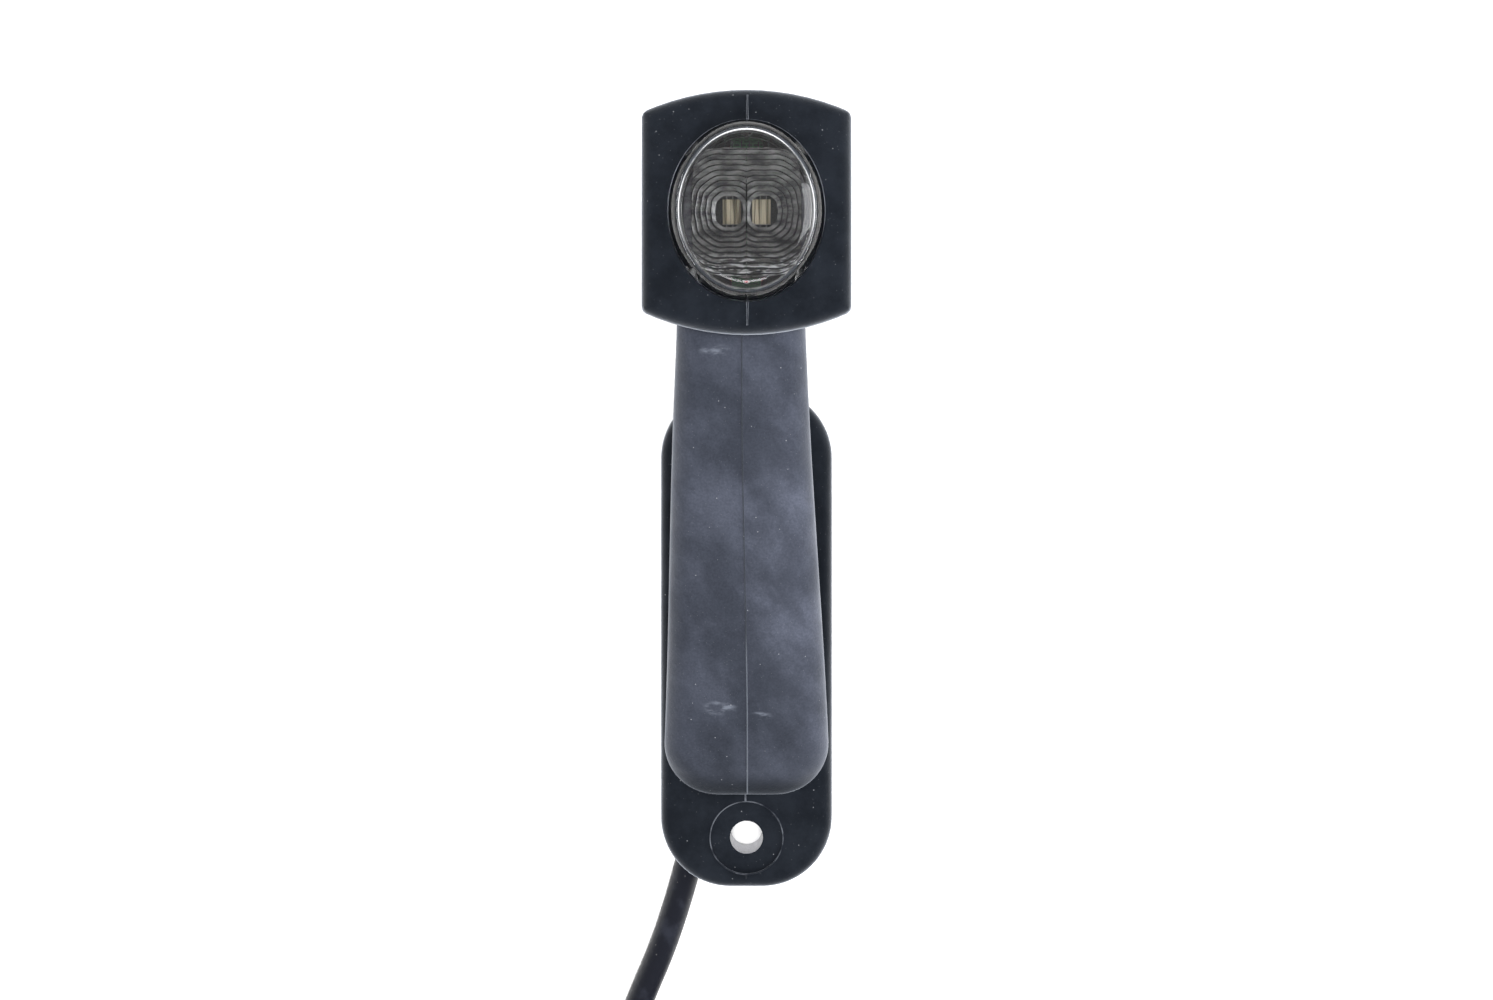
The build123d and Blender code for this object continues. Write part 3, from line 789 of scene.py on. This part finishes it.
# ---- Cable inside the arm ------------------------------------------------------------------------
# The cable lies in a hole along the middle of the arm and bends with the rubber round it, so each
# stretch that flexes is a tube of its own, cut in short rings.
def flexing_cable(name, flex, node):
    """Length of cable between the two ends of a stretch that bends."""
    run = flex[1] - flex[0]
    bpy.ops.object.select_all(action="DESELECT")
    bpy.ops.mesh.primitive_cylinder_add(vertices=40, radius=cable_radius, depth=run.length)
    tube = bpy.context.object
    tube.location = (flex[0] + flex[1]) / 2
    tube.rotation_euler = run.to_track_quat("Z", "X").to_euler()
    bpy.ops.object.transform_apply(location=True, rotation=True, scale=True)
    edit(tube)
    rings = 14
    for ring in range(1, rings):
        bisect(tube, flex[0] + run * ring / rings, arm_direction)
    settle(tube, name)
    tube.data.materials.append(jacket)
    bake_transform(tube)
    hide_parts(node)


flexing_cable("cable_lower_bend", lower_flex, "cable_arm_lower")
flexing_cable("cable_upper_bend", upper_flex, "cable_arm_upper")


def dress(finish, *names):
    """Gives the finish to pieces whose shape comes from the frame."""
    for name in names:
        node = frame["nodes"][name]
        if not node.material_slots:
            node.data.materials.append(finish)
        for slot in node.material_slots:
            slot.material = finish


dress(jacket, "cable_foot_run", "cable_arm_middle", "cable_head_run")

# ---- Bolt sleeves and steel insert ---------------------------------------------------------------
# Two turned steel tubes, bright zinc plated, stop the bolts from crushing the rubber.  The insert
# is a pickled steel plate, buried in the foot, that spreads their load.
def steel_finish(name, colour, rough_low, rough_high):
    """Plated steel with fine turning marks and small dull spots."""
    finish = new_finish(name, colour, rough_low, metallic=1.0)
    turned_marks = grain(finish, placed(finish, stretch=(1, 1, 9)), 900, 3)
    spots = levels(finish, grain(finish, placed(finish), 500), 0.5, 0.75)
    dull = tuple(0.6 * part for part in colour)
    shade = tinted(finish, spots, colour, dull)
    roughness = levels(finish, turned_marks, 0.3, 0.7, rough_low, rough_high)
    return wire_in(finish, shade, roughness, turned_marks, 0.00002)


dress(steel_finish("zinc_steel", (0.35, 0.35, 0.38), 0.25, 0.45), "bolt_sleeves")
dress(steel_finish("insert_steel", (0.34, 0.33, 0.33), 0.45, 0.7), "steel_insert")

# ---- Lamp module lenses --------------------------------------------------------------------------
# Two deep caps moulded in clear and in red acrylic, each with a flange that the lip of the rubber
# head holds, a big roll at its rim and a slight crown.
lens_flange = 1.1 * mm
lens_flange_thickness = 2.0 * mm
lens_wall = 1.8 * mm
lens_roll = 4.5 * mm
lens_crown = 0.5 * mm
rear_lens_step = 2.0 * mm
clear_tint = (0.915, 0.925, 0.94)
red_tint = (0.80, 0.012, 0.010)


def moulded_lens(name, node, facing, finish):
    """Flanged cap, built facing up and turned over for the rear."""
    low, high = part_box(node)
    flange_x = (high[0] - low[0]) / 2
    flange_y = (high[1] - low[1]) / 2
    base, top = (low[2], high[2]) if facing > 0 else (-high[2], -low[2])
    flange_top = base + lens_flange_thickness
    roof = top - lens_wall
    shrink = lens_flange if facing > 0 else lens_flange + rear_lens_step
    cap = cylinder(0, head_y, base, flange_top, flange_x, flange_y, 144)
    edit(cap)
    pick(cap, "FACE", lambda co: co.z > flange_top - 0.01 * mm)
    bpy.ops.mesh.inset(thickness=shrink)
    bpy.ops.mesh.extrude_region_move(TRANSFORM_OT_translate={"value": (0, 0, top - flange_top)})
    pick(cap, "EDGE", lambda co: co.z > top - 0.01 * mm)
    roll(lens_roll, 14)
    pick(cap, "FACE", lambda co: co.z > top - 0.01 * mm)
    rings = 6
    for ring in range(rings):
        bpy.ops.mesh.inset(thickness=(flange_x - shrink - lens_roll) / (rings + 1))
    pick(cap, "FACE", lambda co: co.z < base + 0.01 * mm)
    bpy.ops.mesh.inset(thickness=shrink + lens_wall)
    bpy.ops.mesh.extrude_region_move(TRANSFORM_OT_translate={"value": (0, 0, roof - base)})
    pick(cap, "EDGE", lambda co: abs(co.z - roof) < 0.01 * mm and abs(co.x) < flange_x - lens_wall)
    roll(lens_roll - lens_wall, 8)
    mesh = bmesh.from_edit_mesh(cap.data)
    for vertex in mesh.verts:
        out = (vertex.co.x / flange_x) ** 2 + ((vertex.co.y - head_y) / flange_y) ** 2
        share = max(vertex.co.z - flange_top, 0) / (top - flange_top)
        vertex.co.z -= lens_crown * out * share
        vertex.co.z *= facing
    bmesh.update_edit_mesh(cap.data)
    settle(cap, name, 30)
    cap.data.materials.append(finish)
    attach(cap, "lamp_head")
    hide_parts(node)
    return cap


def acrylic_finish(name, colour):
    """Polished acrylic, faintly scratched."""
    finish = new_finish(name, colour, 0.03)
    feed(finish, {"Transmission Weight": 1.0, "IOR": 1.49})
    scratches = grain(finish, placed(finish, stretch=(1, 0.12, 1), turn=(0, 0, 0.5)), 1400, 3)
    haze = levels(finish, scratches, 0.55, 0.8, 0.015, 0.12)
    return wire_in(finish, None, haze)


moulded_lens("clear_lens", "front_lens", 1, acrylic_finish("clear_acrylic", clear_tint))
moulded_lens("red_lens", "rear_lens", -1, acrylic_finish("red_acrylic", red_tint))

# ---- Optics --------------------------------------------------------------------------------------
# A clear block stands over each pair of chips.  Its face is cut in rings of small prisms round the
# two chips, which meet in a zigzag seam, and a fluted window sits over each chip.
ring_centre = 3.1 * mm
ring_start = (2.5 * mm, 2.85 * mm)
ring_pitch = 0.94 * mm
ring_count = 10
ring_squareness = 2.5
facet_share = 0.70
facet_rise = 0.55 * mm
optic_half = (9.75 * mm, 11.4 * mm)
optic_corner = (7.1 * mm, 8.2 * mm)
window_half = (1.65 * mm, 2.2 * mm)
window_x = 2.65 * mm
window_sink = 0.9 * mm
flute_count = 9
flute_rise = 0.18 * mm
well_x = (0.2 * mm, 5.8 * mm)
well_half_y = 3.1 * mm
well_sink = 1.5 * mm
bar_places = [window_x + place * mm for place in (-1.1, -0.2, 0.9)]
bar_gap = 0.35 * mm
bar_half = (0.07 * mm, 0.33 * mm)
bar_sink = 0.8 * mm


def ring_point(turn, ring):
    """Point on a ring, counted outwards from the chip's window."""
    half_x, half_y = (half + ring_pitch * ring for half in ring_start)
    c, s = cos(turn), sin(turn)
    reach = abs(c / half_x) ** ring_squareness + abs(s / half_y) ** ring_squareness
    reach = reach ** (-1 / ring_squareness) * (1 + 0.012 * cos(10 * turn))
    return reach * c, reach * s


def prism_block(name, node, facing, finishes):
    """Ridged block, built facing up and turned over for the rear."""
    low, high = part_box(node)
    base, top = (low[2], high[2]) if facing > 0 else (-high[2], -low[2])
    bpy.ops.object.select_all(action="DESELECT")
    bpy.ops.mesh.primitive_grid_add(x_subdivisions=120, y_subdivisions=2 * ring_count, size=2)
    half = bpy.context.object
    paint(half, finishes)
    for face in half.data.polygons:
        row = int((face.center.y + 1) * ring_count)
        face.material_index = row % 2
    for vertex in half.data.vertices:
        row = round((vertex.co.y + 1) * ring_count)
        x, y = ring_point(pi * vertex.co.x, row // 2 + (row % 2) * facet_share)
        lift = facet_rise if row % 2 else 0
        vertex.co = (x + ring_centre, y + head_y, top - facet_rise + lift)
    edit(half)
    bpy.ops.mesh.select_all(action="SELECT")
    bpy.ops.mesh.remove_doubles(threshold=0.00001)
    corner_run = Vector((optic_half[0] - optic_corner[0], optic_half[1] - optic_corner[1]))
    cuts = [((0.02 * mm, 0), (-1, 0)), ((optic_half[0], 0), (1, 0))]
    for side in (-1, 1):
        cuts.append(((0, side * optic_half[1]), (0, side)))
        cuts.append(((optic_half[0], side * optic_corner[1]), (corner_run.y, side * corner_run.x)))
    for (x, y), (across, along) in cuts:
        bpy.ops.mesh.select_all(action="SELECT")
        bpy.ops.mesh.bisect(plane_co=(x, head_y + y, 0), plane_no=(across, along, 0), clear_outer=True)
    bpy.ops.mesh.select_all(action="SELECT")
    bpy.ops.mesh.extrude_region_move()
    mesh = bmesh.from_edit_mesh(half.data)
    for vertex in mesh.verts:
        if vertex.select:
            vertex.co.z = base
    bmesh.update_edit_mesh(half.data)
    bpy.ops.object.mode_set(mode="OBJECT")
    window = box_piece(
        (window_x - window_half[0], head_y - window_half[1], base),
        (window_x + window_half[0], head_y + window_half[1], top - window_sink),
    )
    edit(window)
    pick_edges(window, lambda edge: span(edge, 0) > mm)
    bpy.ops.mesh.subdivide(number_cuts=2 * flute_count - 1)
    mesh = bmesh.from_edit_mesh(window.data)
    pitch = window_half[0] / flute_count
    for vertex in mesh.verts:
        step = round((vertex.co.x - window_x + window_half[0]) / pitch)
        if vertex.co.z > base + mm and step % 2:
            vertex.co.z += flute_rise
    bmesh.update_edit_mesh(window.data)
    bpy.ops.object.mode_set(mode="OBJECT")
    paint(window, finishes, 2)
    well = box_piece(
        (well_x[0], head_y - well_half_y, base), (well_x[1], head_y + well_half_y, top - well_sink)
    )
    soften(well, 0.2 * mm, 2)
    # The well takes the dark groove finish: painted shade in the well.
    paint(well, finishes, 1)
    bars = [well]
    for x in bar_places:
        for side in (-1, 1):
            y = head_y + side * (window_half[1] + bar_gap)
            bar_low = (x - bar_half[0], y - bar_half[1], base)
            bar = box_piece(bar_low, (x + bar_half[0], y + bar_half[1], top - bar_sink))
            soften(bar, 0.03 * mm, 2)
            paint(bar, finishes)
            bars.append(bar)
    bpy.ops.object.select_all(action="DESELECT")
    for piece in (window, *bars, half):
        piece.select_set(True)
    bpy.context.view_layer.objects.active = half
    bpy.ops.object.join()
    bpy.ops.object.duplicate()
    other = bpy.context.object
    other.scale = (-1, 1, 1)
    bpy.ops.object.transform_apply(location=True, rotation=True, scale=True)
    half.select_set(True)
    bpy.context.view_layer.objects.active = half
    bpy.ops.object.join()
    for vertex in half.data.vertices:
        vertex.co.z *= facing
    settle(half, name, 30)
    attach(half, "lamp_head")
    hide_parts(node)


def facet_finish(name, low, high, bright):
    """Clear prisms painted with the pale room as painted reflections, and painted glints brightest along
    their lower rows.
    """
    finish = new_finish(name, low, 0.18)
    place = placed(finish)
    shade = levels(finish, grain(finish, placed(finish, stretch=(1, 3, 1)), 260, 4, 0.6), 0.3, 0.7)
    colour = tinted(finish, shade, low, high)
    along = added(finish, "SeparateXYZ", {"Vector": place})
    rows = levels(finish, along["Y"], head_y - 0.0070, head_y - 0.0095)
    glints = levels(finish, grain(finish, placed(finish, stretch=(0.45, 1.6, 1)), 1000, 3), 0.46, 0.60)
    colour = tinted(finish, product(finish, rows, glints), colour, bright)
    return wire_in(finish, colour, None, grain(finish, place, 1800, 2), 0.00005)


def window_finish(name, low, high):
    """The chips painted on the flutes as seen through them: beige with thin darker lines along the
    flutes.
    """
    finish = new_finish(name, low, 0.3)
    lines = grain(finish, placed(finish, stretch=(1, 0.03, 0.03)), 1900, 2)
    colour = tinted(finish, levels(finish, lines, 0.35, 0.6), low, high)
    return wire_in(finish, colour, None, lines, 0.00005)


def groove_finish(name, colour):
    """Steep side of a prism, painted dark as the shade between the lit facets."""
    finish = new_finish(name, colour, 0.35)
    shade = levels(finish, grain(finish, placed(finish), 700), 0.35, 0.7)
    return wire_in(finish, tinted(finish, shade, colour, tuple(2.2 * part for part in colour)))


# Painted reflections and glints on the prism faces, painted shade in the grooves and wells, and the chips
# painted on the windows as seen through them.
clear_finishes = (
    facet_finish("clear_prisms", (0.062, 0.062, 0.063), (0.30, 0.296, 0.285), (0.92, 0.92, 0.92)),
    groove_finish("clear_grooves", (0.004, 0.004, 0.0045)),
    window_finish("chip_windows", (0.165, 0.138, 0.094), (0.62, 0.55, 0.405)),
)
red_finishes = (
    facet_finish("red_prisms", (0.20, 0.02, 0.02), (0.42, 0.05, 0.04), (0.8, 0.3, 0.25)),
    groove_finish("red_grooves", (0.03, 0.003, 0.003)),
    window_finish("red_windows", (0.30, 0.05, 0.04), (0.50, 0.12, 0.09)),
)
prism_block("clear_optic", "front_optic", 1, clear_finishes)
prism_block("red_optic", "rear_optic", -1, red_finishes)

# ---- Side shelves and posts ----------------------------------------------------------------------
# The clear optic stands on two side shelves of the same plastic that fill the lens beside it, and
# thin posts at its top end snap it to the board.
optic_low, optic_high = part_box("front_optic")
# The shelves take the same painted reflections and glints as the prisms.
shelf_finish = facet_finish("clear_shelves", (0.07, 0.072, 0.085), (0.17, 0.172, 0.19), (0.5, 0.5, 0.52))
shelf_x = optic_half[0] + fit_gap
shelf_half = (11.9 * mm, 14.1 * mm)
shelf_low = optic_low[2] + mm
shelf_top = optic_high[2] - 2.2 * mm
post_places = [place * mm for place in (-3.9, -2.6, -0.9, 0.5, 2.2, 4.0)]
post_half = 0.1 * mm
post_y = (head_y + 11.7 * mm, head_y + 12.9 * mm)
post_top = optic_high[2] - 1.2 * mm

for side, name in ((-1, "optic_shelf_left"), (1, "optic_shelf_right")):
    shelf = cylinder(0, head_y, shelf_low, shelf_top, *shelf_half, 96)
    edit(shelf)
    bisect(shelf, (side * shelf_x, 0, 0), (side, 0, 0), keep="outer")
    bpy.ops.object.mode_set(mode="OBJECT")
    soften(shelf, 0.4 * mm, 3)
    settle(shelf, name)
    shelf.data.materials.append(shelf_finish)
    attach(shelf, "lamp_head")
for number, x in enumerate(post_places):
    post = box_piece((x - post_half, post_y[0], optic_low[2]), (x + post_half, post_y[1], post_top))
    edit(post)
    pick(post, "VERT", lambda co: co.z > optic_low[2] + mm)
    bpy.ops.transform.resize(value=(0.6, 0.8, 1))
    bpy.ops.object.mode_set(mode="OBJECT")
    soften(post, 0.04 * mm, 2)
    settle(post, f"optic_post_{number + 1}")
    post.data.materials.append(shelf_finish)
    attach(post, "lamp_head")

# ---- Circuit board and its parts -----------------------------------------------------------------
# Green glass-epoxy board across the module, with tinned rings at its two ends, white-bodied chips
# on both faces and the driver's few parts on the back.
def board_finish():
    """Green solder mask over copper tracks, which show paler."""
    finish = new_finish("board_green", (0.02, 0.10, 0.045), 0.35)
    inputs = {
        "Vector": placed(finish),
        "Scale": 420,
        "Mortar Size": 0.06,
        "Color1": (0.012, 0.055, 0.028),
        "Color2": (0.020, 0.095, 0.040),
        "Mortar": (0.055, 0.21, 0.085),
    }
    tracks = added(finish, "TexBrick", inputs)
    weave = grain(finish, placed(finish), 1600, 3)
    fibres = levels(finish, weave, 0.4, 0.8, 0.0, 0.4)
    shade = tinted(finish, fibres, tracks["Color"], (0.06, 0.2, 0.08))
    return wire_in(finish, shade, None, tracks["Fac"], 0.00003)


def plain_finish(name, low, high, roughness, scale=600, metallic=0.0, depth=0.00003):
    """Small part with a slight mottle and a fine surface."""
    finish = new_finish(name, low, roughness, metallic)
    mottle = grain(finish, placed(finish), scale)
    shade = tinted(finish, levels(finish, mottle, 0.35, 0.7), low, high)
    gloss = levels(finish, mottle, 0.3, 0.7, roughness * 0.8, min(roughness * 1.25, 1))
    return wire_in(finish, shade, gloss, mottle, depth)


dress(board_finish(), "circuit_board")
ring_tin = plain_finish("plated_rings", (0.62, 0.64, 0.60), (0.80, 0.81, 0.77), 0.25, 900, 1.0)
led_ceramic = plain_finish("led_ceramic", (0.62, 0.62, 0.60), (0.80, 0.80, 0.78), 0.45)
led_phosphor = plain_finish("led_phosphor", (0.62, 0.50, 0.10), (0.80, 0.68, 0.20), 0.5, 2000)
chip_black = plain_finish("chip_black", (0.012, 0.012, 0.013), (0.03, 0.03, 0.032), 0.5, 1500)
resistor_ceramic = plain_finish("resistor_ceramic", (0.02, 0.021, 0.023), (0.10, 0.10, 0.10), 0.4, 700)
capacitor_can = plain_finish("capacitor_can", (0.50, 0.51, 0.53), (0.66, 0.67, 0.68), 0.3, 500, 1.0)
dress(ring_tin, "plated_rings")
dress(led_ceramic, "front_leds", "rear_leds")
dress(led_phosphor, "front_led_phosphor")
dress(chip_black, "driver_chip", "rectifier_diode")
dress(resistor_ceramic, "resistors")
dress(capacitor_can, "capacitor")

# ---- Housing, seals and potting ------------------------------------------------------------------
# Black plastic tube that joins the lenses, a soft gasket over each flange, the resin that is poured
# round the cable's end, and a thin black plate round the board that keeps the red out of the front.
housing_plastic = plain_finish("housing_plastic", (0.010, 0.010, 0.011), (0.022, 0.022, 0.024), 0.45, 900)
seal_rubber = plain_finish("seal_rubber", (0.012, 0.012, 0.012), (0.024, 0.024, 0.024), 0.7, 1400)
resin = plain_finish("resin", (0.03, 0.022, 0.015), (0.07, 0.05, 0.03), 0.2, 300)
dress(housing_plastic, "module_housing")
dress(seal_rubber, "front_seal", "rear_seal")
dress(resin, "potting_plug")

board_low, board_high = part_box("circuit_board")
shield_half = (13.45 * mm, 15.65 * mm)
shield_low = board_low[2] + 0.5 * mm
shield_high = board_low[2] + 1.2 * mm
board_slot = ((board_high[0] - board_low[0]) / 2 + 0.1 * mm, 11.1 * mm)
end_slot = (3.1 * mm, 20.0 * mm)
shield = cylinder(0, head_y, shield_low, shield_high, *shield_half, 96)
for half_x, half_y in (board_slot, end_slot):
    cut_with(shield, box_piece((-half_x, head_y - half_y, 0), (half_x, head_y + half_y, 0.1)))
soften(shield, 0.1 * mm, 2)
settle(shield, "light_shield")
shield.data.materials.append(housing_plastic)
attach(shield, "lamp_head")

# ---- Leads, stripped end and tie -----------------------------------------------------------------
# Brown and white insulated cores; at the free end they are stripped to tinned copper strands, and a
# black nylon tie holds the coil.
def strand_finish():
    """Fine tinned wires, twisted together."""
    finish = new_finish("tinned_strands", (0.60, 0.58, 0.54), 0.3, metallic=1.0)
    inputs = {"Vector": placed(finish, turn=(0, 0, 0.7)), "Scale": 900, "Distortion": 0.6}
    lines = added(finish, "TexWave", inputs)["Fac"]
    shade = tinted(finish, lines, (0.30, 0.28, 0.25), (0.74, 0.72, 0.68))
    return wire_in(finish, shade, None, lines, 0.00015)


brown = plain_finish("brown_insulation", (0.085, 0.030, 0.012), (0.15, 0.055, 0.022), 0.4, 500)
white = plain_finish("white_insulation", (0.62, 0.61, 0.58), (0.78, 0.77, 0.74), 0.4, 500)
dress(brown, "live_lead", "live_core")
dress(white, "earth_lead", "earth_core")
dress(strand_finish(), "bare_strands")
dress(plain_finish("tie_nylon", (0.014, 0.014, 0.015), (0.032, 0.032, 0.034), 0.38, 800), "cable_tie")

# ---- Studio --------------------------------------------------------------------------------------
# A plain white floor under an even white sky, soft lights from the foot's end, the right and above,
# and long thin strips low at the sides that draw light edges along the lens.
bpy.ops.object.select_all(action="DESELECT")
bpy.ops.mesh.primitive_plane_add(size=6, location=(0, 0, 0))
floor = bpy.context.object
floor.name = "floor"
floor.data.materials.append(new_finish("floor_white", (0.93, 0.93, 0.93), 0.9, gloss=0.1))

sky = bpy.data.worlds.new("studio_sky")
sky.use_nodes = True
sky.node_tree.nodes["Background"].inputs["Color"].default_value = (1, 1, 1, 1)
sky.node_tree.nodes["Background"].inputs["Strength"].default_value = 0.4
bpy.context.scene.world = sky
bpy.context.scene.view_settings.view_transform = "Standard"


def studio_light(name, place, aim, width, height, watts, mirrored=True, through_lens=True):
    """Soft rectangular light aimed at a place, mirrored in gloss and lighting through lenses or not."""
    data = bpy.data.lights.new(name, "AREA")
    data.shape = "RECTANGLE"
    data.size = width
    data.size_y = height
    data.energy = watts
    light = bpy.data.objects.new(name, data)
    bpy.context.collection.objects.link(light)
    light.location = place
    direction = Vector(aim) - Vector(place)
    light.rotation_euler = direction.to_track_quat("-Z", "Y").to_euler()
    light.visible_glossy = mirrored
    light.visible_transmission = through_lens


studio_light("front_softbox", (-0.05, -0.75, 0.85), (0, 0.02, 0.02), 1.0, 0.26, 10.0, mirrored=False)
studio_light("right_softbox", (0.80, 0.20, 0.50), (0, 0.04, 0.03), 0.5, 0.9, 9.0, mirrored=False)
studio_light("overhead", (0, 0.01, 0.80), (0, 0, 0), 0.16, 0.16, 7.0, mirrored=False, through_lens=False)
studio_light("right_strip", (0.90, 0.05, 0.16), (0, 0.06, 0.05), 1.1, 0.035, 1.5)
studio_light("left_strip", (-0.90, 0.05, 0.16), (0, 0.06, 0.03), 1.1, 0.06, 1.3)
studio_light("far_strip", (0.0, 0.95, 0.20), (0, 0.06, 0.03), 1.1, 0.10, 0.25)
